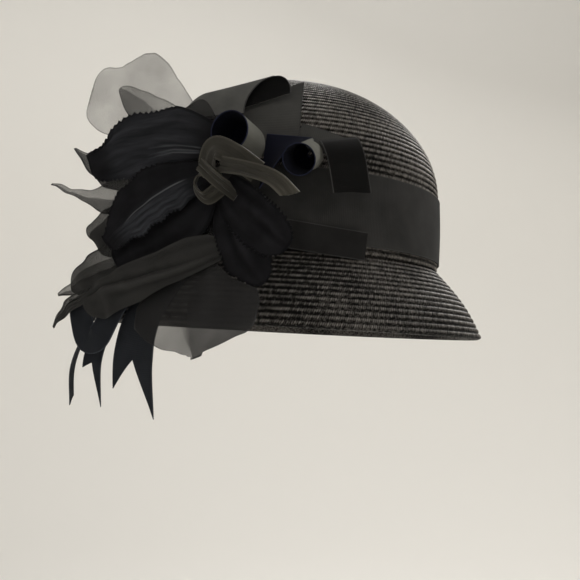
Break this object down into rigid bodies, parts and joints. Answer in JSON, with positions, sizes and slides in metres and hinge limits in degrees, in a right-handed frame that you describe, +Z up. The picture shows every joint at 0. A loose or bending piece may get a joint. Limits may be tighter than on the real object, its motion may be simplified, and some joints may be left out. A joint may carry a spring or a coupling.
{
  "type": "derby hat",
  "caption": "Black straw derby hat with a round crown, turned-down brim, grosgrain band and a side trim of velvet and organza petals, ribbon loops and streamers.",
  "frame": {"origin": "centre of the headline, where the crown meets the brim and a head carries the hat", "axes": "+Z up through the crown, -Y to the front where the trim is seen, +X to the right of someone who looks at the front"},
  "size_m": [0.2301, 0.2695, 0.1772],
  "materials": {
    "straw": "sewn straw braid, dyed black, with a low gloss",
    "grosgrain": "ribbed ribbon, matte",
    "navy_ribbon": "ribbed ribbon with a soft sheen",
    "velvet": "velvet with pinked edges",
    "organza": "sheer organza",
    "silk": "olive silk, soft sheen"
  },
  "bodies": {
    "root": {"crown": "straw", "brim": "straw", "hat_band": "grosgrain", "velvet_petal_upper": "velvet", "velvet_petal_middle": "velvet", "velvet_petal_lower": "velvet", "velvet_petal_right": "velvet", "velvet_petal_right_low": "velvet", "organza_petal_top_outer": "organza", "organza_petal_top_inner": "organza", "organza_petal_top_small": "organza", "organza_petal_left_upper": "organza", "organza_petal_left": "organza", "organza_petal_left_low": "organza", "organza_curl": "organza", "organza_tip_upper": "organza", "organza_tip_lower": "organza", "organza_sweep": "organza", "organza_petal_front": "organza", "ribbon_loop_top": "grosgrain", "ribbon_end_top": "grosgrain", "ribbon_loop_upper": "navy_ribbon", "ribbon_loop_right": "navy_ribbon", "ribbon_loop_outer": "grosgrain", "ribbon_end_right": "grosgrain", "ribbon_end_side": "grosgrain", "streamer_wide": "grosgrain", "streamer_narrow": "grosgrain", "streamer_edge": "grosgrain", "streamer_loop": "grosgrain", "silk_loop_upper": "silk", "silk_loop_left": "silk", "silk_tail_right": "silk", "silk_tail_low": "silk"}
  },
  "joints": []
}
